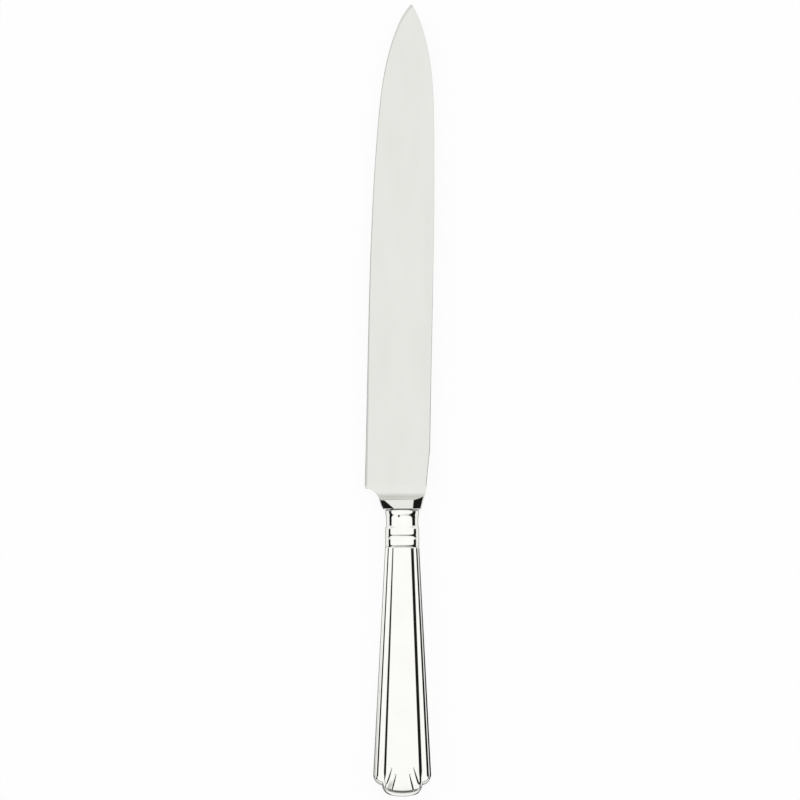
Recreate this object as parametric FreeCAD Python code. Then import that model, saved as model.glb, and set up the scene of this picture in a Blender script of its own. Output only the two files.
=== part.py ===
import FreeCAD, Part
import math
import os
from FreeCAD import Matrix, Placement, Rotation, Vector

# Carving knife: a forged stainless blade with its bolster and tang, cemented into a hollow silver handle
# that is soldered together from two stamped shells.
# Lengths are in millimetres. While it is built, the origin is the middle of the bolster's seat on the handle,
# +X points to the spine, +Y to the tip and +Z out of the front face. Rises and depths are measured from the
# handle's axis, and heights from the plane where the two shells meet.

# Blade outline
blade_length = 204.1
tip_rise = 3.8
tip_edge_slope = 1.07
tip_spine_slope = -0.7
heel_distance = 9.25
heel_depth = 15.1
heel_radius = 0.8
heel_edge_slope = 0.029
belly_station = 47.0
belly_depth = 9.65
belly_rise = 12.8
point_station = 15.0
point_depth = 4.05
point_rise = 9.65
spine_root_distance = 24.0
spine_root_rise = 11.2
spine_root_slope = 0.013
spine_root_bow = 0.1

# Blade section
spine_thickness = 2.6
edge_thickness = 0.6
tip_thickness = 0.9
bevel_angle = 20.0
spine_chamfer = 0.3

# Bolster
bolster_length = 8.45
bolster_width = 15.2
bolster_thickness = 10.8
bolster_rise = 9.7
bolster_bow = 0.25
choil_distance = 4.35
choil_depth = 9.2
choil_bow = 0.9
sweep_distance = 9.7
sweep_radius = 6.0
sweep_dip = 0.05
facet_rise = 4.0
facet_depth = 2.9
facet_top_depth = 8.3
facet_top_distance = 4.5
facet_edge_height = 3.1
facet_climb = 0.06
strip_width = 0.45
strip_drop = 1.0
seat_chamfer = 0.4

# Tang
tang_length = 62.0
tang_width = 7.0
tang_thickness = 4.4
tang_end_width = 4.0
tang_end_thickness = 2.8

# Neck of the handle, with its two rings
neck_length = 6.75
neck_width = 13.7
neck_thickness = 10.2
neck_draw = 0.2
ring_count = 2
ring_length = 3.9
ring_gap = 0.35
ring_swell = 0.35
vent_diameter = 0.9
vent_distance = 2.65
vent_depth = 1.5

# Body of the handle: a bead along the edge, a rib inside it, a raised panel and a tongue at the butt
handle_length = 115.95
bead_width_front = 13.9
bead_width_end = 24.0
bead_height_front = 3.45
bead_height_end = 5.05
bead_end_margin = 4.2
bead_corner_radius = 4.5
bead_round = 1.1
rib_width_front = 12.3
rib_width_end = 21.2
rib_height_front = 4.05
rib_height_end = 5.95
rib_end_margin = 5.85
rib_corner_radius = 3.2
rib_chamfer = 0.65
panel_width_front = 8.8
panel_width_end = 15.7
panel_height_front = 5.0
panel_height_end = 7.15
panel_end_margin = 1.75
panel_corner_radius = 1.8
panel_bow = 1.8
panel_chamfer = 1.1
panel_roll_length = 9.5
panel_roll_radius = 24.0
tongue_length = 12.0
tongue_width = 16.3
tongue_height = 4.4
tongue_corner_radius = 2.2
tongue_bow = 1.65
tongue_round = 0.7

# Flutes that fan out over the rolled end of the panel
flute_depth = 0.3
outer_flute_length = 9.2
outer_flute_rise = 4.55
outer_flute_end_rise = 6.3
inner_flute_length = 6.2
inner_flute_rise = 2.9
inner_flute_end_rise = 4.0

# Shells and the solder between them
shell_wall = 0.7
seam_thickness = 0.1

# Cutting blocks are this large, cuts run this far past the solid, lengths below the third are nothing,
# and a face counts as a top when its normal rises at least this much
block_size = 4 * (blade_length + handle_length)
overshoot = 2.0
close_enough = 1e-4
top_rise = 0.5

body_start = -(neck_length + ring_count * (ring_length + ring_gap))
butt = -handle_length
panel_end = butt + panel_end_margin


# Shared shapes
def arc(first, middle, last):
    return Part.Arc(first, middle, last).toShape()


def bowed(first, last, bow):
    """Arc between two points of a plan that bows to the right of the way from first to last."""
    along = (last - first).normalize()
    return arc(first, (first + last) / 2 + Vector(along.y, -along.x, 0) * bow, last)


def curve(points, first_slope, last_slope):
    """Smooth curve along +Y, where a slope is the change of X for each unit of Y."""
    spline = Part.BSplineCurve()
    spline.interpolate(
        points,
        InitialTangent=Vector(first_slope, 1, 0),
        FinalTangent=Vector(last_slope, 1, 0),
    )
    return spline.toShape()


def face_within(edges):
    return Part.Face(Part.Wire(edges))


def mirrored(shape):
    """The back half that belongs to a front half."""
    return shape.mirror(Vector(0, 0, 0), Vector(0, 0, 1))


def both_halves(shape):
    return shape.fuse(mirrored(shape)).removeSplitter()


def beyond_plane(points, inside):
    """Block that starts at the plane through three points, on the side away from an inside point."""
    normal = (points[1] - points[0]).cross(points[2] - points[0]).normalize()
    if normal.dot(inside - points[0]) > 0:
        normal = -normal
    block = Part.makeBox(block_size, block_size, block_size, Vector(-block_size / 2, -block_size / 2, 0))
    block.Placement = Placement(points[0], Rotation(Vector(0, 0, 1), normal))
    return block


def above_height(height):
    """Block over a level plane."""
    return Part.makeBox(block_size, block_size, block_size, Vector(-block_size / 2, -block_size / 2, height))


def flattened(shape, flatness):
    """Round solid about the Y axis, pressed to an oval."""
    matrix = Matrix()
    matrix.scale(1, 1, flatness)
    return shape.transformGeometry(matrix)


# Blade
def blade_side_height(rise, distance):
    """Height of the blade's flat side, which falls evenly from spine to edge and from heel to tip."""
    across = (spine_thickness - edge_thickness) / 2 / (spine_root_rise + heel_depth)
    tip_height = edge_thickness / 2 + across * (heel_depth + tip_rise)
    along = (tip_thickness / 2 - tip_height) / (blade_length - heel_distance)
    return edge_thickness / 2 + across * (rise + heel_depth) + along * (distance - heel_distance)


def blade_plan():
    """Outline of the blade and the bolster, as a face on the middle plane."""
    tip = Vector(tip_rise, blade_length, 0)
    heel = Vector(-heel_depth, heel_distance, 0)
    heel_end = heel + Vector(1, -1, 0) * heel_radius
    heel_turn = heel + Vector(1 - math.sqrt(0.5), -math.sqrt(0.5), 0) * heel_radius
    edge_belly = Vector(-belly_depth, blade_length - belly_station, 0)
    edge_point = Vector(-point_depth, blade_length - point_station, 0)
    spine_root = Vector(spine_root_rise, spine_root_distance, 0)
    spine_belly = Vector(belly_rise, blade_length - belly_station, 0)
    spine_point = Vector(point_rise, blade_length - point_station, 0)
    shoulder = Vector(bolster_rise, bolster_length, 0)
    choil = Vector(-choil_depth, choil_distance, 0)
    seat_spine = Vector(bolster_width / 2, 0, 0)
    seat_edge = -seat_spine
    return face_within([
        curve([heel, edge_belly, edge_point, tip], heel_edge_slope, tip_edge_slope),
        curve([spine_root, spine_belly, spine_point, tip], spine_root_slope, tip_spine_slope),
        bowed(shoulder, spine_root, -spine_root_bow),
        Part.makeLine(shoulder, seat_spine),
        Part.makeLine(seat_spine, seat_edge),
        bowed(seat_edge, choil, -bolster_bow),
        bowed(choil, heel_end, choil_bow),
        arc(heel_end, heel_turn, heel),
    ])


def make_blade_plate(plan):
    """Flat-ground blade with a sharpened edge and a chamfered spine."""
    tall = Vector(0, 0, spine_thickness)
    chamfer_start = Vector(0, 0, spine_thickness / 2 - spine_chamfer)
    bevel_shift = Vector(spine_thickness / math.tan(math.radians(bevel_angle)), 0, 0)
    chamfer_shift = Vector(-spine_thickness, 0, 0)
    sharpened = plan.extrude(tall + bevel_shift)
    eased = plan.translated(chamfer_start).extrude(tall + chamfer_shift).fuse(plan.extrude(chamfer_start))
    corners = [(0, 0), (spine_root_rise, 0), (0, blade_length)]
    side = [Vector(rise, distance, blade_side_height(rise, distance)) for rise, distance in corners]
    half = plan.extrude(tall).common(sharpened).common(eased)
    return both_halves(half.cut(beyond_plane(side, Vector(0, 0, 0))))


def spine_facet_height(rise, distance):
    """Height of the facet towards the spine, which falls outwards and climbs a little towards the blade."""
    fall = (bolster_thickness / 2 - facet_edge_height) / (bolster_width / 2 - facet_rise)
    return facet_edge_height + fall * (bolster_width / 2 - rise) + facet_climb * distance


def spine_strip():
    """Three points of the narrow steep strip between the spine facet and the bolster's side."""
    points = []
    for rise, distance in ((bolster_width / 2, 0), (bolster_rise, bolster_length)):
        inner = rise - strip_width
        points.append(Vector(inner, distance, spine_facet_height(inner, distance)))
    return points + [points[0] + Vector(strip_width, 0, -strip_drop)]


def make_bolster(plan):
    """Bolster with slanted facets, which sweeps down to the blade's flat sides."""
    top = bolster_thickness / 2
    seat = Vector(0, 0, 0)
    reach = heel_depth - edge_thickness / 2 / math.tan(math.radians(bevel_angle))
    spine_corner = Vector(bolster_width / 2, 0, facet_edge_height)
    edge_corner = Vector(-bolster_width / 2, 0, facet_edge_height)
    spine_facet = [spine_corner, spine_corner + Vector(0, 1, facet_climb), Vector(facet_rise, 0, top)]
    edge_facet_top = Vector(-facet_top_depth, facet_top_distance, top)
    edge_facet = [edge_corner, Vector(-facet_depth, 0, top), edge_facet_top]
    lean = Vector(1, 0, blade_side_height(1, 0) - blade_side_height(0, 0))
    sweep_height = blade_side_height(0, sweep_distance) - sweep_dip + sweep_radius
    sweep_start = Vector(0, sweep_distance, sweep_height) - lean * 2 * reach
    sweep = Part.makeCylinder(sweep_radius, lean.Length * 4 * reach, sweep_start, lean)
    half = plan.extrude(Vector(0, 0, top))
    half = half.common(Part.makeBox(2 * reach, sweep_distance, top, Vector(-reach, 0, 0)))
    half = half.cut(beyond_plane(spine_facet, seat))
    half = half.cut(beyond_plane(spine_strip(), seat))
    half = half.cut(beyond_plane(edge_facet, seat))
    bolster = both_halves(half.cut(sweep))
    seat_edges = [edge for edge in bolster.Edges if edge.BoundBox.YMax < close_enough]
    return bolster.makeChamfer(seat_chamfer, seat_edges)


def make_tang():
    def section(distance, width, thickness):
        corner = Vector(-width / 2, distance, -thickness / 2)
        across = Vector(width, 0, 0)
        up = Vector(0, 0, thickness)
        return Part.makePolygon([corner, corner + across, corner + across + up, corner + up, corner])

    root = section(0, tang_width, tang_thickness)
    end = section(-tang_length, tang_end_width, tang_end_thickness)
    return Part.makeLoft([root, end], True, True)


# Handle, as the front half of its outside, or of the hollow inside it when there is an inset
def make_neck():
    """Waisted neck with two rings, turned round and pressed to an oval."""
    groove = neck_width / 2 - neck_draw
    mouth = Vector(neck_width / 2, 0, 0)
    place = Vector(groove, -neck_length, 0)
    edges = [arc(mouth, Vector(groove, -neck_length / 2, 0), place)]
    for ring in range(ring_count):
        ring_end = place - Vector(0, ring_length, 0)
        gap_end = ring_end - Vector(0, ring_gap, 0)
        edges.append(arc(place, (place + ring_end) / 2 + Vector(ring_swell, 0, 0), ring_end))
        edges.append(Part.makeLine(ring_end, gap_end))
        place = gap_end
    centre = Vector(0, 0, 0)
    centre_end = Vector(0, body_start, 0)
    edges.append(Part.makeLine(place, centre_end))
    edges.append(Part.makeLine(centre_end, centre))
    edges.append(Part.makeLine(centre, mouth))
    turned = face_within(edges).revolve(centre, Vector(0, 1, 0), 360)
    return flattened(turned, neck_thickness / neck_width).common(above_height(0))


def make_bore():
    """Plain oval bore through the neck, one wall inside its grooves."""
    groove = neck_width / 2 - neck_draw
    radius = groove - shell_wall
    flatness = (groove * neck_thickness / neck_width - shell_wall) / radius
    round_bore = Part.makeCylinder(radius, shell_wall - body_start, Vector(0, 0, 0), Vector(0, -1, 0))
    return flattened(round_bore, flatness).common(above_height(0))


def under_top(start, end, height_front, height_end, roll_length, roll_radius):
    """Everything under a sloping top whose last stretch may roll down, drawn from the side."""
    half_width = Vector(bead_width_end, 0, 0)
    slope = (height_end - height_front) / (start - end)
    along = Vector(0, -1, slope).normalize()
    up = Vector(0, slope, 1).normalize()
    straight = start - end - roll_length if roll_length else start - end + overshoot
    foot = Vector(0, start, 0)
    first = Vector(0, start, height_front)
    last = first + Vector(0, -1, slope) * straight
    edges = [Part.makeLine(foot, first), Part.makeLine(first, last)]
    if roll_length:
        turn = last
        angle = math.asin((roll_length + overshoot) / roll_radius)
        centre = turn - up * roll_radius
        middle = centre + (up * math.cos(angle / 2) + along * math.sin(angle / 2)) * roll_radius
        last = centre + (up * math.cos(angle) + along * math.sin(angle)) * roll_radius
        edges.append(arc(turn, middle, last))
    last_foot = Vector(0, last.y, 0)
    edges += [Part.makeLine(last, last_foot), Part.makeLine(last_foot, foot)]
    return face_within(edges).translated(-half_width).extrude(half_width * 2)


def make_tier(start, end, width_front, width_end, bow, corner_radius, top):
    """Tapered block with rounded corners at the butt, and a straight or bowed end, under its top."""
    front_edge = Vector(-width_front / 2, start, 0)
    front_spine = Vector(width_front / 2, start, 0)
    end_edge = Vector(-width_end / 2, end + bow, 0)
    end_spine = Vector(width_end / 2, end + bow, 0)
    end_line = bowed(end_spine, end_edge, -bow) if bow else Part.makeLine(end_spine, end_edge)
    plan = face_within([
        Part.makeLine(front_edge, front_spine),
        Part.makeLine(front_spine, end_spine),
        end_line,
        Part.makeLine(end_edge, front_edge),
    ])
    block = plan.extrude(Vector(0, 0, panel_height_end))
    upright = [edge for edge in block.Edges if edge.BoundBox.XLength + edge.BoundBox.YLength < close_enough]
    corners = [edge for edge in upright if edge.Vertexes[0].Y < start - close_enough]
    return block.makeFillet(corner_radius, corners).common(top)


def top_rim(tier, start):
    """Edges around the top of a tier, apart from the one on its front face."""
    def is_top(face):
        return face.normalAt(*face.Surface.parameter(face.CenterOfMass)).z > top_rise

    edges = [edge for face in tier.Faces if is_top(face) for edge in face.Edges]
    outer = [edge for edge in edges if sum(edge.isSame(other) for other in edges) == 1]
    return [edge for edge in outer if edge.BoundBox.YMin < start - close_enough]


def on_top(solid, rise, distance):
    """Highest point of a solid over a place of the plan."""
    place = Vector(rise, distance, 0)
    plumb_line = Part.makeLine(place, place + Vector(0, 0, block_size))
    return Vector(rise, distance, plumb_line.common(solid).BoundBox.ZMax)


def make_flutes(panel):
    """Square V grooves along the panel's top, each from nothing to its full depth at the panel's end."""
    flutes = []
    for side in (-1, 1):
        for length, rise, end_rise in (
            (outer_flute_length, outer_flute_rise, outer_flute_end_rise),
            (inner_flute_length, inner_flute_rise, inner_flute_end_rise),
        ):
            first = on_top(panel, side * rise, panel_end + length)
            last = on_top(panel, side * end_rise, panel_end + panel_bow) - Vector(0, 0, flute_depth)
            along = (last - first).normalize()
            across = along.cross(Vector(0, 0, 1)).normalize()
            up = across.cross(along)
            root = first - along * overshoot
            edge_side = root + (up + across) * overshoot
            spine_side = root + (up - across) * overshoot
            notch = Part.Face(Part.makePolygon([root, edge_side, spine_side, root]))
            flutes.append(notch.extrude(along * (first.distanceToPoint(last) + 2 * overshoot)))
    return flutes


def make_body(inset):
    """Bead, rib, panel and tongue of the handle's front half, each one inset from its outside."""
    start = body_start - inset
    slack = inset * (2 - math.sqrt(2))
    bead_end = butt + bead_end_margin + inset
    bead = make_tier(
        start, bead_end, bead_width_front - 2 * inset, bead_width_end - 2 * inset, 0,
        bead_corner_radius - inset,
        under_top(start, bead_end, bead_height_front - inset, bead_height_end - inset, 0, 0),
    )
    rib_end = butt + rib_end_margin + inset
    rib = make_tier(
        start, rib_end, rib_width_front - 2 * inset, rib_width_end - 2 * inset, 0,
        rib_corner_radius - inset,
        under_top(start, rib_end, rib_height_front - inset, rib_height_end - inset, 0, 0),
    )
    panel = make_tier(
        start, panel_end + inset, panel_width_front - 2 * inset, panel_width_end - 2 * inset, panel_bow,
        panel_corner_radius - inset,
        under_top(start, panel_end + inset, panel_height_front - inset, panel_height_end - inset,
                  panel_roll_length - inset, panel_roll_radius - inset),
    )
    tongue_start = butt + tongue_length
    tongue = make_tier(
        tongue_start, butt + inset, tongue_width - 2 * inset, tongue_width - 2 * inset, tongue_bow,
        tongue_corner_radius - inset,
        under_top(tongue_start, butt + inset, tongue_height - inset, tongue_height - inset, 0, 0),
    )
    flutes = [] if inset else make_flutes(panel)
    bead = bead.makeFillet(bead_round - inset, top_rim(bead, start))
    rib = rib.makeChamfer(rib_chamfer - slack, top_rim(rib, start))
    panel = panel.makeChamfer(panel_chamfer - slack, top_rim(panel, start))
    if not inset:
        tongue = tongue.makeFillet(tongue_round, top_rim(tongue, tongue_start))
        panel = panel.cut(flutes)
    return bead.fuse([rib, panel, tongue])


def make_pieces():
    """Every piece of the knife by its name, around the middle of the bolster's seat."""
    plan = blade_plan()
    tang = make_tang()
    blade = make_blade_plate(plan).fuse([make_bolster(plan), tang]).removeSplitter()
    outside = make_body(0).fuse(make_neck()).removeSplitter()
    inside = make_body(shell_wall).fuse(make_bore()).removeSplitter()
    half_ring = outside.cut(inside)
    shell = half_ring.common(above_height(seam_thickness / 2))
    vent = Part.makeCylinder(vent_diameter / 2, bolster_thickness, Vector(-vent_depth, -vent_distance, 0))
    return {
        "blade": blade,
        "handle_front_shell": shell.cut(vent),
        "handle_back_shell": mirrored(shell),
        "solder_seam": both_halves(half_ring.cut(above_height(seam_thickness / 2))),
        "handle_filler": both_halves(inside).cut(tang),
    }


def main():
    pieces = make_pieces()
    box = Part.makeCompound(list(pieces.values())).optimalBoundingBox(False, False)
    shift = Vector(-box.Center.x, -box.Center.y, -box.ZMin)
    os.makedirs("parts", exist_ok=True)
    for name, shape in pieces.items():
        solid = shape.Solids[0].translated(shift)
        print(name, "solids", len(shape.Solids), "valid", solid.isValid(), "volume %.1f" % solid.Volume)
        solid.exportStep("parts/" + name + ".step")


if __name__ == "__main__":
    main()
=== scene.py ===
import math

import bmesh
import bpy
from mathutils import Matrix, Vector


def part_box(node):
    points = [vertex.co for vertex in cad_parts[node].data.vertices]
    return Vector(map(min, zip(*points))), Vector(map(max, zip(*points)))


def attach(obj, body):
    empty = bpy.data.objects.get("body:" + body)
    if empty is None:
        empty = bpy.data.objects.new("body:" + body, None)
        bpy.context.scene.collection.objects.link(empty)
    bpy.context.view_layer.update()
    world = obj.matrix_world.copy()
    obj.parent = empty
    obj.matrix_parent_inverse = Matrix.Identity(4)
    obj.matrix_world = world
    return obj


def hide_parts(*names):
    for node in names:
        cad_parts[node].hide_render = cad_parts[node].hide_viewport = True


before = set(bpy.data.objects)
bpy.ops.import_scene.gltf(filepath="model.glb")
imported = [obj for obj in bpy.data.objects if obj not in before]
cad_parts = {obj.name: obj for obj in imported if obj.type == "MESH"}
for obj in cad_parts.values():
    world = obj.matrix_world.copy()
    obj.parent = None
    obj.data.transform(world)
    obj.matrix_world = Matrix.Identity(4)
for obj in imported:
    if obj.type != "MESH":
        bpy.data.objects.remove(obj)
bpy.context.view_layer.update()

MM = 0.001

# The photograph's frame, in metres: square, with the camera this many degrees to the left of straight above
FRAME_WIDTH = 0.3232
FRAME_CENTRE = (0.0002, 0.00016)
CAMERA_HEIGHT = 1.5
CAMERA_LEAN = 2.2

# Studio walls: heights are sines of the elevation. The walls are higher on the right, at the front and in
# the right front corner, and they end more softly at the front, where they also glow a little
WALL_TOP = 0.505
WALL_LEAN = 0.052
WALL_FRONT_RISE = 0.11
WALL_CORNER_RISE = 0.08
WALL_SOFTNESS = 0.03
FRONT_SOFTNESS = 0.27
FRONT_POWER = 3
WALL_TONE = 0.012
FRONT_GLOW = 0.12
FRONT_GLOW_FROM = 0.8

# Open back of the studio: between which directions it opens, its tone at the floor, and from which height
# it is white. The zenith limit is just over 1, so that no direction is divided by zero
OPEN_FROM = 0.08
OPEN_TO = 0.5
BACK_TONE = 0.7
BACK_TOP = 0.6
ZENITH_LIMIT = 1.0001

# Light on matt surfaces, and the floor: its size in metres, its colour and the share of plain white in it
FILL_LIGHT = 1.25
FLOOR_SIZE = 6
FLOOR_COLOUR = (0.96, 0.96, 0.96, 1)
FLOOR_ROUGH = 0.9
FLOOR_GLOW = 0.92

# Handle, in millimetres: stations are measured from the bolster's seat towards the butt, and heights
# from the seam between the two shells
SHELL_WALL = 0.7
BODY_START = 15.25
BUTT = 115.8

# Solder: the gap that it fills and how deep, how far its bead stands out and how high it is, the bead's
# shoulder as shares of these, the least step along it, and how near a point has to be to count as the middle
SEAM = 0.1
SEAM_DEPTH = 0.5
SEAM_PROUD = 0.15
SEAM_HEIGHT = 0.16
SEAM_SHOULDER = (0.75, 0.66)
SEAM_STEP = 0.05
SEAM_MIDDLE = 0.02

# Neck: half width, height and squareness of its sections at the waist and at the rings, and the share of
# the half width that their last point but one reaches
NECK_HALF = (6.3, 6.62)
NECK_HEIGHT = (4.5, 4.5)
NECK_SQUARE = (2.2, 2.6)
NECK_EDGE = 0.999
FLARE_FROM = 6.5
FLARE_TO = 7.7
WAIST_STATION = 5.0
WAIST_REACH = 2.0
WAIST_CURVE = 0.02
COLLAR_SWELL = (0.3, 0.5)
COLLAR_CREST = 1.2
COLLAR_END = 3.2
MOUTH_ROUND = 0.3
MOUTH_LENGTH = 1.0
RING_STARTS = (6.7, 10.95)
RING_LENGTH = 4.3
RING_RISE = 1.4
RING_FALL = 1.15
RING_HEIGHT = 0.42
VENT_X = -1.5
VENT_STATION = 2.65
VENT_RADIUS = 0.45

# Tiers of the body: half widths, heights, runs and steepest slopes of their walls, at the start of the
# body and at the butt. A turn is where a side wall takes its last half width, run and slope
BEAD_HALF = (6.75, 12.0)
BEAD_HEIGHT = (3.34, 5.07)
BEAD_REACH = (0.75, 0.95)
BEAD_SLOPE = (0.59, 0.67)
BEAD_END_SLOPE = 0.85
BEAD_END_TURN = (109.4, 110.6)
BEAD_END = 111.3
BEAD_CORNER = 4.3
RIB_HALF = (6.25, 11.43)
RIB_HEIGHT = (3.9, 5.92)
RIB_RUN = (1.1, 1.65)
RIB_SLOPE = (0.77, 0.77)
RIB_TURN = (107.5, 109.0)
RIB_TURN_WALL = (11.43, 1.1, 1.14)
RIB_END = 111.0
RIB_CORNER = 3.4
PANEL_HALF = (5.13, 8.6)
PANEL_HEIGHT = (5.0, 7.12)
PANEL_RUN = (2.5, 2.1)
PANEL_SLOPE = (0.655, 0.8)
PANEL_CROWN = 0.03
PANEL_TURN = (108.5, 111.3)
PANEL_TURN_WALL = (7.65, 1.1, 0.8)
PANEL_END = 114.5
PANEL_CORNER = 2.4
PANEL_END_RUN = 0.95
PANEL_END_SLOPE = 0.5
ROLL_START = 104.7
ROLL_RADIUS = 25.0
RIB_ROLL_RADIUS = 29.0
TONGUE_START = 104.0
TONGUE_HALF = 7.9
TONGUE_HEIGHT = 4.3
TONGUE_CORNER = 2.6
TONGUE_BOW = 1.65
TONGUE_REACH = 0.6
TONGUE_SLOPE = (0.42, 0.85)
TONGUE_TURN = (3.5, 6.5)
FRONT_ROUND = 0.5
FRONT_ROUND_DROP = 0.25

# Flutes that fan out over the panel's end, the inner pair first: where each starts, how far across it is at
# its start and end, how wide its steep side gets, how far its outer side reaches at its start and end, which
# share of the depth comes back there at least, and where it fades out. Below them are the slope of the steep
# sides, and powers and rates at which a flute widens and its outer side stops coming back
FLUTES = (
    {
        "start": 106.9,
        "across": (2.65, 3.85),
        "width": 0.8,
        "reach": (1.75, 2.3),
        "kept": 1.0,
        "fade": (114.0, 115.0),
    },
    {
        "start": 104.2,
        "across": (4.3, 6.55),
        "width": 1.0,
        "reach": (1.2, 1.2),
        "kept": 0.4,
        "fade": (110.6, 112.6),
    },
)
FLUTE_END = 111.6
FLUTE_SLOPE = 0.655
FLUTE_GROWTH = 0.4
FLUTE_EASE = 1.2

# Mesh: spacing and tolerances in millimetres, and how many rows and columns its strips have. The columns of
# the flutes close up where the top of the panel is narrower than FLUTED_HALF
NECK_STEP = 0.15
BODY_STEP = 4.0
BUTT_ROWS_FROM = 101.0
BUTT_STEP = 0.14
FRONT_ROWS = 6
END_ROWS = 8
PANEL_COLUMNS = 10
FLUTE_COLUMNS = 8
PANEL_WALL_COLUMNS = 12
RIB_COLUMNS = 5
RIB_WALL_COLUMNS = 10
BEAD_COLUMNS = 12
COLUMN_GAP = 0.05
FLUTED_HALF = 6.0
OUTLINE_SLACK = 1e-6
WELD_DISTANCE = 1e-4
SHARP_DEGREES = 50

# Steel: its colours, its grain in waves to the millimetre along each axis and in layers of detail, its
# roughness, and the strength of its bump and that bump's depth in millimetres
STEEL_TONES = ((0.785, 0.79, 0.75), (0.815, 0.82, 0.78))
STEEL_CLOUDS = ((0.12, 0.03, 0.12), 2)
STEEL_LINES = ((4, 0.05, 4), 4)
STEEL_ROUGH = (0.06, 0.1)
STEEL_BUMP = (0.06, 0.01)

# What the blade adds to its roughness past the heel, which lies these millimetres from the bolster's seat
SATIN = 0.22
HEEL = (9.2, 9.7)

# Worn corners of the steel: their radius in millimetres, and the cosines of the turn where wear starts and
# where it is full
STEEL_CORNER = 0.25
WORN_TURN = (0.99, 0.93)
WORN_TONE = (0.84, 0.845, 0.805)
WORN_ROUGH = 0.05
SHADE_SAMPLES = 6

# Ground edge: rise of the normals on it and on the flat, and between which millimetres from the tip the
# painted dark reflection along it fades to a share. Its extra roughness is its duller grind, but its darker
# colour is a painted dark reflection
GROUND_TILT = (0.9, 0.985)
GROUND_SHADE_TONE = (0.5, 0.5, 0.48)
GROUND_ROUGH = 0.1
TIP_FADE = (80.0, 10.0)
TIP_EDGE_SHADE = 0.35

# Silver: as for the steel, and the painted shade that darkens its recesses: the shade's colour, the reach in
# millimetres of the recesses that hold it, and how open a recess is where it is dark and where it is unshaded
SILVER_TONES = ((0.962, 0.956, 0.92), (0.985, 0.981, 0.948))
SILVER_CLOUDS = ((0.15, 0.1, 0.15), 2)
SILVER_MARKS = ((7, 0.25, 7), 4)
SILVER_ROUGH = (0.02, 0.06)
MARKS_ROUGH = 0.03
SILVER_BUMP = (0.05, 0.005)
RECESS_SHADE_TONE = (0.12, 0.115, 0.105)
RECESS_SHADE_REACH = 1.6
RECESS_SHADE_OPENNESS = (0.45, 0.85)

# Solder and cement
SOLDER_TONES = ((0.34, 0.34, 0.33), (0.46, 0.46, 0.44))
SOLDER_LUMPS = ((2, 2, 2), 3)
SOLDER_ROUGH = (0.4, 0.6)
SOLDER_BUMP = (0.3, 0.03)
CEMENT_TONES = ((0.13, 0.13, 0.125), (0.26, 0.26, 0.25))
CEMENT_SAND = ((6, 6, 6), 4)
CEMENT_ROUGH = (0.8, 0.95)
CEMENT_BUMP = (0.5, 0.1)

# Usual range of a noise, and the sockets of a Mix node that hold its colours
NOISE_RANGE = (0.3, 0.7)
MIX_COLOURS = (6, 7)
MIX_RESULT = 2

# Place of the handle and the blade in the frame
front_low, front_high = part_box("handle_front_shell")
AXIS_X = (front_low[0] + front_high[0]) / 2
SEAT_Y = front_high[1]
SEAM_Z = (front_low[2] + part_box("handle_back_shell")[1][2]) / 2
HEEL_Y = [SEAT_Y + distance * MM for distance in HEEL]
TIP_FADE_Y = [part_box("blade")[1][1] - distance * MM for distance in TIP_FADE]


def in_frame(x, station, height):
    return (AXIS_X + x * MM, SEAT_Y - station * MM, SEAM_Z + height * MM)


# Small helpers for shapes
def even(low, high, value):
    """0 up to low, 1 from high, and straight between them."""
    return min(max((value - low) / (high - low), 0), 1)


def smooth(low, high, value):
    """0 up to low, 1 from high, and smooth between them."""
    part = even(low, high, value)
    return part * part * (3 - 2 * part)


def between(ends, part):
    return ends[0] + (ends[1] - ends[0]) * part


def along_body(ends, station):
    """A size that changes evenly from the start of the body to the butt."""
    return between(ends, (station - BODY_START) / (BUTT - BODY_START))


def wall_drop(inset, run, slope):
    """How far an S-shaped wall of some steepest slope has fallen, where its run ends at the outline."""
    return slope * run * 2 / 3 * (1 - smooth(0, run, inset))


def edge_drop(inset, reach, slope):
    """How far a rounded edge of some slope at its outline has fallen."""
    return slope * reach * 4 / 3 * (1 - smooth(-reach, reach, inset))


def rounded(inset, reach, drop):
    """How far the quarter of an oval falls at a distance inside its outline."""
    part = 1 - min(max(inset / reach, 0), 1)
    return drop * (1 - math.sqrt(1 - part * part))


def roll(station, radius):
    """How far the top has rolled down towards the butt."""
    return max(station - ROLL_START, 0) ** 2 / (2 * radius)


def inset_from(x, station, half_width, end, corner):
    """Distance inside a tier's outline, which is straight at its sides and rounded at its two corners."""
    side = half_width - abs(x)
    ahead = end - station
    if side < corner and ahead < corner:
        return corner - math.hypot(corner - side, corner - ahead)
    return min(side, ahead)


# Neck of the handle
def ring_share(station):
    """How much of a ring stands at a station of the neck: a slow rise and a steep fall."""
    share = 0
    for start in RING_STARTS:
        end = start + RING_LENGTH
        rise = smooth(start, start + RING_RISE, station)
        share = max(share, rise * (1 - smooth(end - RING_FALL, end, station)))
    return share


def neck_section(station):
    """Half width, height and squareness of the neck at a station, with its collar and rings."""
    swell = WAIST_CURVE * min(abs(station - WAIST_STATION), WAIST_REACH) ** 2
    swell -= rounded(station, MOUTH_LENGTH, MOUTH_ROUND)
    collar = 1 - smooth(COLLAR_CREST, COLLAR_END, station)
    flare = smooth(FLARE_FROM, FLARE_TO, station)
    half = between(NECK_HALF, flare) + swell + COLLAR_SWELL[0] * collar
    height = between(NECK_HEIGHT, flare) + swell + COLLAR_SWELL[1] * collar
    return half, height + RING_HEIGHT * ring_share(station), between(NECK_SQUARE, flare)


def neck_row(station, columns):
    """One oval section of the neck, with as many points as a section of the body."""
    half, height, square = neck_section(station)
    points = []
    for x in columns:
        share = x / columns[-1] * NECK_EDGE
        points.append((half * share, station, height * (1 - share ** square) ** (1 / square)))
    return points + [(half, station, SEAM / 2)]


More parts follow.
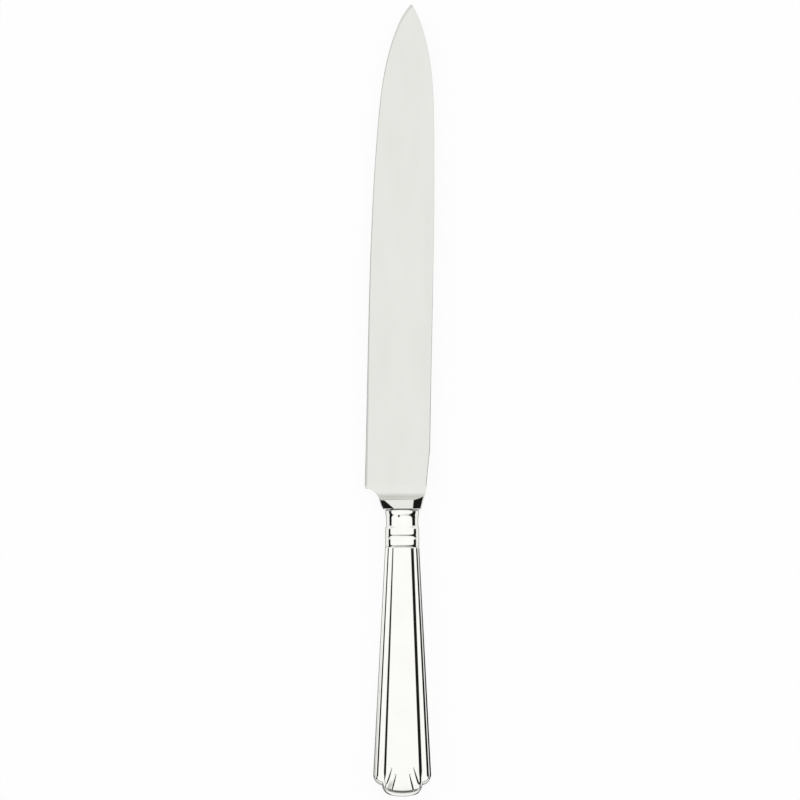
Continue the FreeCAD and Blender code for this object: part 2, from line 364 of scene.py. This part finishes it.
# Tiers of the body: each gives its height at a place, or 0 where it has ended
def bead_height(x, station):
    inset = inset_from(x, station, along_body(BEAD_HALF, station), BEAD_END, BEAD_CORNER)
    if inset < -OUTLINE_SLACK:
        return 0
    slope = between((along_body(BEAD_SLOPE, station), BEAD_END_SLOPE), smooth(*BEAD_END_TURN, station))
    drop = edge_drop(inset, along_body(BEAD_REACH, station), slope)
    return along_body(BEAD_HEIGHT, station) - roll(station, RIB_ROLL_RADIUS) - drop


def side_wall(station, ends, turn, turned):
    """Half width, run and slope of a tier's side wall, which takes another form at its turn by the butt."""
    part = smooth(*turn, station)
    return [between((along_body(pair, station), last), part) for pair, last in zip(ends, turned)]


def rib_wall(station):
    return side_wall(station, (RIB_HALF, RIB_RUN, RIB_SLOPE), RIB_TURN, RIB_TURN_WALL)


def panel_wall(station):
    return side_wall(station, (PANEL_HALF, PANEL_RUN, PANEL_SLOPE), PANEL_TURN, PANEL_TURN_WALL)


def rib_height(x, station):
    half, run, slope = rib_wall(station)
    inset = inset_from(x, station, half, RIB_END, RIB_CORNER)
    if inset < 0:
        return 0
    return along_body(RIB_HEIGHT, station) - roll(station, RIB_ROLL_RADIUS) - wall_drop(inset, run, slope)


def flute_line(flute, station):
    """How far along a flute a station is, the middle of the flute's steep side, and how wide that side is."""
    part = max((station - flute["start"]) / (FLUTE_END - flute["start"]), 0)
    return part, between(flute["across"], part), flute["width"] * min(part, 1) ** FLUTE_GROWTH


def flute_depth(x, station):
    """Depth of the flutes: each falls steeply on its inner side and comes back slowly on its outer side."""
    depth = 0
    for flute in FLUTES:
        part, middle, run = flute_line(flute, station)
        if part > 0:
            beyond = abs(x) - middle + run / 2
            reach = between(flute["reach"], part * part)
            recovered = max(1 - FLUTE_EASE * part, flute["kept"]) * even(run, run + reach, beyond)
            share = even(0, run, beyond) * (1 - recovered) * (1 - smooth(*flute["fade"], station))
            depth += FLUTE_SLOPE * run * share
    return depth


def panel_height(x, row, station):
    half, run, slope = panel_wall(station)
    inset = inset_from(x, row, half, PANEL_END, PANEL_CORNER)
    if inset < 0:
        return 0
    top = along_body(PANEL_HEIGHT, station) - roll(station, ROLL_RADIUS) - PANEL_CROWN * (x / half) ** 2
    side = wall_drop(half - abs(x), run, slope)
    end = wall_drop(PANEL_END - row, PANEL_END_RUN, PANEL_END_SLOPE)
    return top - flute_depth(x, station) - side - end


def tongue_height(x, row):
    if row < TONGUE_START:
        return 0
    inset = inset_from(x, row, TONGUE_HALF, BUTT, TONGUE_CORNER)
    slope = between(TONGUE_SLOPE, smooth(*TONGUE_TURN, abs(x)))
    return TONGUE_HEIGHT - edge_drop(inset, TONGUE_REACH, slope)


def body_height(x, row, station):
    """Height of the body: the highest of its tiers. Rows bend with the butt's bow, stations don't."""
    bead = bead_height(x, station)
    rib = rib_height(x, station)
    panel = panel_height(x, row, station)
    height = max(bead, rib, panel, tongue_height(x, row))
    return height - rounded(station - BODY_START, FRONT_ROUND, FRONT_ROUND_DROP)


# Rows and columns of the body's mesh
def outline_half(station):
    """Half width of the whole outline at a station."""
    half = 0
    for width, end, corner, start in (
        (along_body(BEAD_HALF, station), BEAD_END, BEAD_CORNER, BODY_START),
        (TONGUE_HALF, BUTT, TONGUE_CORNER, TONGUE_START),
    ):
        if start <= station <= end:
            into = max(corner - (end - station), 0)
            half = max(half, width - corner + math.sqrt(corner * corner - into * into))
    return half


def strip(first, last, count, power=1):
    """Places from one line of the section towards the next, closer at the end for a higher power."""
    return [first + (last - first) * (1 - (1 - step / count) ** power) for step in range(count)]


def fluted_columns(row, panel_top):
    """Places over half of the panel's top, in strips that follow the flutes."""
    stops = [0]
    for flute in FLUTES:
        _, middle, width = flute_line(flute, row)
        middle *= min(panel_top / FLUTED_HALF, 1)
        stops.append(min(middle - width / 2, panel_top - 2 * COLUMN_GAP))
        stops.append(min(middle + max(width / 2, COLUMN_GAP), panel_top - COLUMN_GAP))
    places = []
    for index, (first, last) in enumerate(zip(stops, stops[1:] + [panel_top])):
        places += strip(first, last, FLUTE_COLUMNS if index % 2 else PANEL_COLUMNS)
    return places


def half_columns(row):
    """Places across the section at one row, from the middle to the outline."""
    outline = outline_half(row)
    panel, run, _ = panel_wall(row)
    panel = min(panel, outline - 2 * COLUMN_GAP)
    panel_top = panel - run
    beside = along_body(BEAD_HALF, row) - panel
    share = (along_body(RIB_HALF, row) - panel) / beside
    top_share = share - along_body(RIB_RUN, row) / beside
    rib = panel + (outline - panel) * share
    rib_top = panel + (outline - panel) * top_share
    places = fluted_columns(row, panel_top)
    places += strip(panel_top, panel, PANEL_WALL_COLUMNS)
    places += strip(panel, rib_top, RIB_COLUMNS)
    places += strip(rib_top, rib, RIB_WALL_COLUMNS)
    places += strip(rib, outline, BEAD_COLUMNS, 2)
    return places + [outline]


def body_row(row):
    """One section of the body, whose last point is the foot of its side at the seam."""
    bend = smooth(BEAD_END, PANEL_END, row)
    points = []
    for x in half_columns(row):
        station = row - TONGUE_BOW * bend * (x / TONGUE_HALF) ** 2
        points.append((x, station, body_height(x, row, station)))
    return points + [(points[-1][0], points[-1][1], SEAM / 2)]


def spaced(first, last, step):
    """Evenly spaced places from the first to just before the last, about one step apart."""
    count = round((last - first) / step)
    return [first + (last - first) * index / count for index in range(count)]


def row_stations():
    """Stations of the body's rows: close at its start, wide along it, and close again at the butt."""
    rows = [BODY_START + FRONT_ROUND * (step / FRONT_ROWS) ** 2 for step in range(FRONT_ROWS)]
    rows += spaced(BODY_START + FRONT_ROUND, BUTT_ROWS_FROM, BODY_STEP)
    rows += spaced(BUTT_ROWS_FROM, BUTT - TONGUE_REACH, BUTT_STEP)
    rows += [BUTT - TONGUE_REACH * (1 - step / END_ROWS) ** 2 for step in range(END_ROWS + 1)]
    return rows


def handle_rows():
    """Right halves of all the rows of the handle's front, from the mouth to the butt."""
    first = half_columns(BODY_START)
    rows = [neck_row(station, first) for station in spaced(0, BODY_START, NECK_STEP) + [BODY_START]]
    rows += [body_row(row) for row in row_stations()]
    rows.append([(x, station, SEAM / 2) for x, station, height in rows[-1]])
    return rows


# Pieces of the handle
def finish_mesh(name, mesh):
    """Object from a mesh under construction, smooth but for its sharp edges."""
    data = bpy.data.meshes.new(name)
    mesh.to_mesh(data)
    mesh.free()
    data.polygons.foreach_set("use_smooth", [True] * len(data.polygons))
    data.set_sharp_from_angle(angle=math.radians(SHARP_DEGREES))
    piece = bpy.data.objects.new(name, data)
    bpy.context.scene.collection.objects.link(piece)
    return piece


def add_vent(mesh):
    """Round hole through the sheet: faces over it go, and the points around it move onto its rim."""
    centre = in_frame(VENT_X, VENT_STATION, 0)
    radius = VENT_RADIUS * MM

    def offset(place):
        return place.x - centre[0], place.y - centre[1]

    inside = [face for face in mesh.faces if math.hypot(*offset(face.calc_center_median())) < radius]
    bmesh.ops.delete(mesh, geom=inside, context="FACES")
    for vert in mesh.verts:
        across, along = offset(vert.co)
        distance = math.hypot(across, along)
        if vert.is_boundary and distance < 2 * radius:
            vert.co.x = centre[0] + across * radius / distance
            vert.co.y = centre[1] + along * radius / distance


def make_shell(name, side, vented):
    """One stamped half of the handle: side is 1 for the front and -1 for the back."""
    mesh = bmesh.new()
    grid = []
    for right in handle_rows():
        section = [(-x, station, height) for x, station, height in reversed(right[1:])] + right
        grid.append([mesh.verts.new(in_frame(x, station, height * side)) for x, station, height in section])
    for row, following in zip(grid, grid[1:]):
        for column in range(len(row) - 1):
            corners = [row[column], row[column + 1], following[column + 1], following[column]]
            if side > 0:
                corners.reverse()
            mesh.faces.new(corners)
    if vented:
        add_vent(mesh)
    bmesh.ops.remove_doubles(mesh, verts=mesh.verts, dist=WELD_DISTANCE * MM)
    shell = finish_mesh(name, mesh)
    sheet = shell.modifiers.new("sheet", "SOLIDIFY")
    sheet.thickness = SHELL_WALL * MM
    sheet.offset = -1
    return shell


def seam_outline():
    """Points of the handle's outline at the seam, from the right of the mouth round the butt to the left."""
    rows = handle_rows()
    right = [row[-1][:2] for row in rows[:-1]]
    right += [point[:2] for point in reversed(rows[-1][:-2])]
    points = [right[0]]
    for point in right[1:]:
        if math.dist(point, points[-1]) > SEAM_STEP:
            points.append(point)
    return points + [(-x, station) for x, station in reversed(points) if x > SEAM_MIDDLE]


def outward(outline, index):
    """Direction away from the handle at one point of its outline."""
    before = outline[max(index - 1, 0)]
    after = outline[min(index + 1, len(outline) - 1)]
    length = math.dist(before, after)
    return (after[1] - before[1]) / length, (before[0] - after[0]) / length


def make_seam(name):
    """Ribbon of solder between the shells, with a low bead that stands out of the seam."""
    shoulder = (SEAM_PROUD * SEAM_SHOULDER[0], SEAM_HEIGHT * SEAM_SHOULDER[1])
    section = [(-SEAM_DEPTH, SEAM / 2), (0, SEAM_HEIGHT), shoulder, (SEAM_PROUD, 0)]
    section += [(out, -height) for out, height in reversed(section) if height]
    outline = seam_outline()
    mesh = bmesh.new()
    loops = []
    for index, (x, station) in enumerate(outline):
        out_x, out_station = outward(outline, index)
        places = [in_frame(x + out * out_x, station + out * out_station, height) for out, height in section]
        loops.append([mesh.verts.new(place) for place in places])
    for loop, following in zip(loops, loops[1:]):
        for index in range(len(section)):
            after = (index + 1) % len(section)
            mesh.faces.new([loop[index], loop[after], following[after], following[index]])
    mesh.faces.new(loops[0])
    mesh.faces.new(loops[-1][::-1])
    bmesh.ops.recalc_face_normals(mesh, faces=mesh.faces)
    return finish_mesh(name, mesh)


# Small helpers for node trees
def new_material(name):
    material = bpy.data.materials.new(name)
    material.use_nodes = True
    tree = material.node_tree
    return material, tree, tree.nodes["Principled BSDF"]


def new_metal(name):
    material, tree, shader = new_material(name)
    shader.inputs["Metallic"].default_value = 1
    return material, tree, shader


def add_node(tree, kind, **settings):
    node = tree.nodes.new(kind)
    for name, value in settings.items():
        setattr(node, name, value)
    return node


def feed(tree, given, socket):
    """Give a socket another node's output, or a value of its own."""
    if isinstance(given, bpy.types.NodeSocket):
        tree.links.new(given, socket)
    else:
        socket.default_value = given


def calculate(tree, operation, *values):
    """Math node whose inputs are numbers or other nodes' outputs."""
    node = add_node(tree, "ShaderNodeMath", operation=operation)
    for socket, value in zip(node.inputs, values):
        feed(tree, value, socket)
    return node.outputs[0]


def ramp(tree, value, low, high, first=0, last=1, kind="LINEAR"):
    """Number that goes from first to last while a value goes from low to high."""
    node = add_node(tree, "ShaderNodeMapRange", interpolation_type=kind)
    names = ("Value", "From Min", "From Max", "To Min", "To Max")
    for name, given in zip(names, (value, low, high, first, last)):
        feed(tree, given, node.inputs[name])
    return node.outputs[0]


def smooth_ramp(tree, value, low, high):
    return ramp(tree, value, low, high, kind="SMOOTHSTEP")


def split_xyz(tree, vector):
    node = add_node(tree, "ShaderNodeSeparateXYZ")
    tree.links.new(vector, node.inputs[0])
    return node.outputs


def grain(tree, scale, detail):
    """Noise with a number of waves to the millimetre along each axis, and some layers of detail."""
    place = add_node(tree, "ShaderNodeTexCoord")
    mapping = add_node(tree, "ShaderNodeMapping")
    mapping.inputs["Scale"].default_value = [waves / MM for waves in scale]
    noise = add_node(tree, "ShaderNodeTexNoise")
    noise.inputs["Scale"].default_value = 1
    noise.inputs["Detail"].default_value = detail
    tree.links.new(place.outputs["Object"], mapping.inputs["Vector"])
    tree.links.new(mapping.outputs["Vector"], noise.inputs["Vector"])
    return noise.outputs["Fac"]


def tones(tree, value, first, last):
    """Colour that goes from first to last over the usual range of a noise."""
    node = add_node(tree, "ShaderNodeValToRGB")
    for element, place, colour in zip(node.color_ramp.elements, NOISE_RANGE, (first, last)):
        element.position = place
        element.color = (*colour, 1)
    tree.links.new(value, node.inputs["Fac"])
    return node.outputs["Color"]


def blend(tree, share, first, last):
    """Colour between two others, each either a colour or an output."""
    node = add_node(tree, "ShaderNodeMix", data_type="RGBA")
    tree.links.new(share, node.inputs["Factor"])
    for index, colour in zip(MIX_COLOURS, (first, last)):
        given = colour if isinstance(colour, bpy.types.NodeSocket) else (*colour, 1)
        feed(tree, given, node.inputs[index])
    return node.outputs[MIX_RESULT]


def add_bump(tree, shader, height, strength, depth, normal=None):
    bump = add_node(tree, "ShaderNodeBump")
    bump.inputs["Strength"].default_value = strength
    bump.inputs["Distance"].default_value = depth * MM
    tree.links.new(height, bump.inputs["Height"])
    if normal:
        tree.links.new(normal, bump.inputs["Normal"])
    tree.links.new(bump.outputs["Normal"], shader.inputs["Normal"])


# Materials
def worn_corners(tree):
    """Normals that are rounded at the corners, and how worn each place is."""
    shape = add_node(tree, "ShaderNodeNewGeometry")
    corner = add_node(tree, "ShaderNodeBevel", samples=SHADE_SAMPLES)
    corner.inputs["Radius"].default_value = STEEL_CORNER * MM
    turn = add_node(tree, "ShaderNodeVectorMath", operation="DOT_PRODUCT")
    tree.links.new(corner.outputs["Normal"], turn.inputs[0])
    tree.links.new(shape.outputs["True Normal"], turn.inputs[1])
    return corner.outputs["Normal"], ramp(tree, turn.outputs["Value"], *WORN_TURN)


def blade_zones(tree):
    """Where the blade is, where its edge is ground, and how strongly painted dark reflection darkens the
    ground edge.
    """
    shape = add_node(tree, "ShaderNodeNewGeometry")
    rise = split_xyz(tree, shape.outputs["True Normal"])["Z"]
    along = split_xyz(tree, shape.outputs["Position"])["Y"]
    blade = smooth_ramp(tree, along, *HEEL_Y)
    flat = smooth_ramp(tree, calculate(tree, "ABSOLUTE", rise), *GROUND_TILT)
    ground = calculate(tree, "MULTIPLY", calculate(tree, "SUBTRACT", 1, flat), blade)
    # Painted dark reflection: the ground edge's colour is darkened, less so towards the tip
    edge_shade = calculate(tree, "MULTIPLY", ground, ramp(tree, along, *TIP_FADE_Y, 1, TIP_EDGE_SHADE))
    return blade, ground, edge_shade


def steel_material():
    """Steel with a polished bolster, a satin blade with lines along it, worn corners and a ground edge with
    painted dark reflection.
    """
    material, tree, shader = new_metal("satin_steel")
    clouds = grain(tree, *STEEL_CLOUDS)
    lines = grain(tree, *STEEL_LINES)
    normal, worn = worn_corners(tree)
    blade, ground, edge_shade = blade_zones(tree)
    colour = tones(tree, clouds, *STEEL_TONES)
    colour = blend(tree, worn, colour, WORN_TONE)
    colour = blend(tree, edge_shade, colour, GROUND_SHADE_TONE)
    tree.links.new(colour, shader.inputs["Base Color"])
    rough = ramp(tree, lines, *NOISE_RANGE, *STEEL_ROUGH)
    for share, amount in ((worn, WORN_ROUGH), (blade, SATIN), (ground, GROUND_ROUGH)):
        rough = calculate(tree, "MULTIPLY_ADD", share, amount, rough)
    tree.links.new(rough, shader.inputs["Roughness"])
    add_bump(tree, shader, lines, *STEEL_BUMP, normal)
    return material


def silver_material():
    """Bright silver plate with fine wiping marks, soft clouds and painted shade darkening its recesses."""
    material, tree, shader = new_metal("polished_silver")
    clouds = grain(tree, *SILVER_CLOUDS)
    marks = grain(tree, *SILVER_MARKS)
    # Painted shade: ambient occlusion darkens the silver's colour towards a near-black tone in recesses and
    # corners
    hollow = add_node(tree, "ShaderNodeAmbientOcclusion", samples=SHADE_SAMPLES)
    hollow.inputs["Distance"].default_value = RECESS_SHADE_REACH * MM
    unshaded = smooth_ramp(tree, hollow.outputs["AO"], *RECESS_SHADE_OPENNESS)
    plate = tones(tree, clouds, *SILVER_TONES)
    tree.links.new(blend(tree, unshaded, RECESS_SHADE_TONE, plate), shader.inputs["Base Color"])
    rough = ramp(tree, clouds, *NOISE_RANGE, *SILVER_ROUGH)
    rough = calculate(tree, "MULTIPLY_ADD", marks, MARKS_ROUGH, rough)
    tree.links.new(rough, shader.inputs["Roughness"])
    add_bump(tree, shader, marks, *SILVER_BUMP)
    return material


def solder_material():
    """Dull grey solder, mottled and slightly lumpy."""
    material, tree, shader = new_metal("dull_solder")
    lumps = grain(tree, *SOLDER_LUMPS)
    tree.links.new(tones(tree, lumps, *SOLDER_TONES), shader.inputs["Base Color"])
    tree.links.new(ramp(tree, lumps, *NOISE_RANGE, *SOLDER_ROUGH), shader.inputs["Roughness"])
    add_bump(tree, shader, lumps, *SOLDER_BUMP)
    return material


def cement_material():
    """Grey cement with grains of sand."""
    material, tree, shader = new_material("grey_cement")
    sand = grain(tree, *CEMENT_SAND)
    tree.links.new(tones(tree, sand, *CEMENT_TONES), shader.inputs["Base Color"])
    tree.links.new(ramp(tree, sand, *NOISE_RANGE, *CEMENT_ROUGH), shader.inputs["Roughness"])
    add_bump(tree, shader, sand, *CEMENT_BUMP)
    return material


# Pieces in their places
def dress(piece, material):
    piece.data.materials.clear()
    piece.data.materials.append(material)


def stand_in(piece, material, node):
    """Dress a piece and let it stand in for its CAD node."""
    dress(piece, material)
    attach(piece, "root")
    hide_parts(node)


def make_knife():
    silver = silver_material()
    dress(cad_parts["blade"], steel_material())
    dress(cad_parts["handle_filler"], cement_material())
    stand_in(make_seam("solder_seam.ribbon"), solder_material(), "solder_seam")
    front = make_shell("handle_front_shell.stamped", 1, True)
    stand_in(front, silver, "handle_front_shell")
    back = make_shell("handle_back_shell.stamped", -1, False)
    stand_in(back, silver, "handle_back_shell")


# Studio
def make_floor():
    """Pale floor that is nearly white to the camera and keeps the knife's soft shadow."""
    bpy.ops.mesh.primitive_plane_add(size=FLOOR_SIZE)
    floor = bpy.context.object
    floor.name = "floor"
    material, tree, shader = new_material("floor_paper")
    shader.inputs["Base Color"].default_value = FLOOR_COLOUR
    shader.inputs["Roughness"].default_value = FLOOR_ROUGH
    shader.inputs["Specular IOR Level"].default_value = 0
    path = add_node(tree, "ShaderNodeLightPath")
    share = calculate(tree, "MULTIPLY", path.outputs["Is Camera Ray"], FLOOR_GLOW)
    white = add_node(tree, "ShaderNodeEmission")
    mix = add_node(tree, "ShaderNodeMixShader")
    for socket, output in zip(mix.inputs, (share, shader.outputs[0], white.outputs[0])):
        tree.links.new(output, socket)
    tree.links.new(mix.outputs[0], tree.nodes["Material Output"].inputs["Surface"])
    floor.data.materials.append(material)


def wall_edge(tree, right, front):
    """Heights between which the dark walls end in a direction."""
    top = calculate(tree, "MULTIPLY_ADD", right, WALL_LEAN, WALL_TOP)
    top = calculate(tree, "MULTIPLY_ADD", front, WALL_FRONT_RISE, top)
    corner = calculate(tree, "MULTIPLY", right, front)
    top = calculate(tree, "MULTIPLY_ADD", corner, WALL_CORNER_RISE, top)
    straight_on = calculate(tree, "POWER", front, FRONT_POWER)
    softness = calculate(tree, "MULTIPLY_ADD", straight_on, FRONT_SOFTNESS, WALL_SOFTNESS)
    return calculate(tree, "SUBTRACT", top, softness), calculate(tree, "ADD", top, softness)


def dome_shade(tree):
    """Brightness of a white dome with dark walls to the left, the right and the front, and an open back."""
    coordinates = add_node(tree, "ShaderNodeTexCoord")
    x, y, rise = split_xyz(tree, coordinates.outputs["Generated"])
    level = calculate(tree, "SUBTRACT", ZENITH_LIMIT, calculate(tree, "POWER", rise, 2))
    level = calculate(tree, "SQRT", level)
    right = calculate(tree, "DIVIDE", x, level)
    back = calculate(tree, "DIVIDE", y, level)
    front = calculate(tree, "MAXIMUM", calculate(tree, "MULTIPLY", back, -1), 0)
    above = smooth_ramp(tree, rise, *wall_edge(tree, right, front))
    behind = smooth_ramp(tree, back, OPEN_FROM, OPEN_TO)
    dusk = ramp(tree, rise, 0, BACK_TOP, BACK_TONE, 1)
    bright = calculate(tree, "MAXIMUM", above, calculate(tree, "MULTIPLY", behind, dusk))
    glow = smooth_ramp(tree, front, FRONT_GLOW_FROM, 1)
    wall = calculate(tree, "MULTIPLY_ADD", glow, FRONT_GLOW, WALL_TONE)
    return calculate(tree, "MAXIMUM", bright, wall)


def make_world():
    """Studio dome, which is plain white to the camera and a little stronger for matt surfaces."""
    world = bpy.data.worlds.new("studio")
    bpy.context.scene.world = world
    world.use_nodes = True
    tree = world.node_tree
    background = tree.nodes["Background"]
    path = add_node(tree, "ShaderNodeLightPath")
    shade = calculate(tree, "MAXIMUM", dome_shade(tree), path.outputs["Is Camera Ray"])
    strength = calculate(tree, "MULTIPLY_ADD", path.outputs["Is Diffuse Ray"], FILL_LIGHT - 1, 1)
    tree.links.new(shade, background.inputs["Color"])
    tree.links.new(strength, background.inputs["Strength"])


def make_camera():
    data = bpy.data.cameras.new("camera")
    data.type = "ORTHO"
    data.ortho_scale = FRAME_WIDTH
    camera = bpy.data.objects.new("camera", data)
    lean = math.radians(CAMERA_LEAN)
    left = FRAME_CENTRE[0] - CAMERA_HEIGHT * math.sin(lean)
    camera.location = (left, FRAME_CENTRE[1], SEAM_Z + CAMERA_HEIGHT * math.cos(lean))
    camera.rotation_euler = (0, -lean, 0)
    bpy.context.scene.collection.objects.link(camera)
    bpy.context.scene.camera = camera


make_knife()
make_floor()
make_world()
make_camera()
bpy.context.scene.view_settings.view_transform = "Standard"
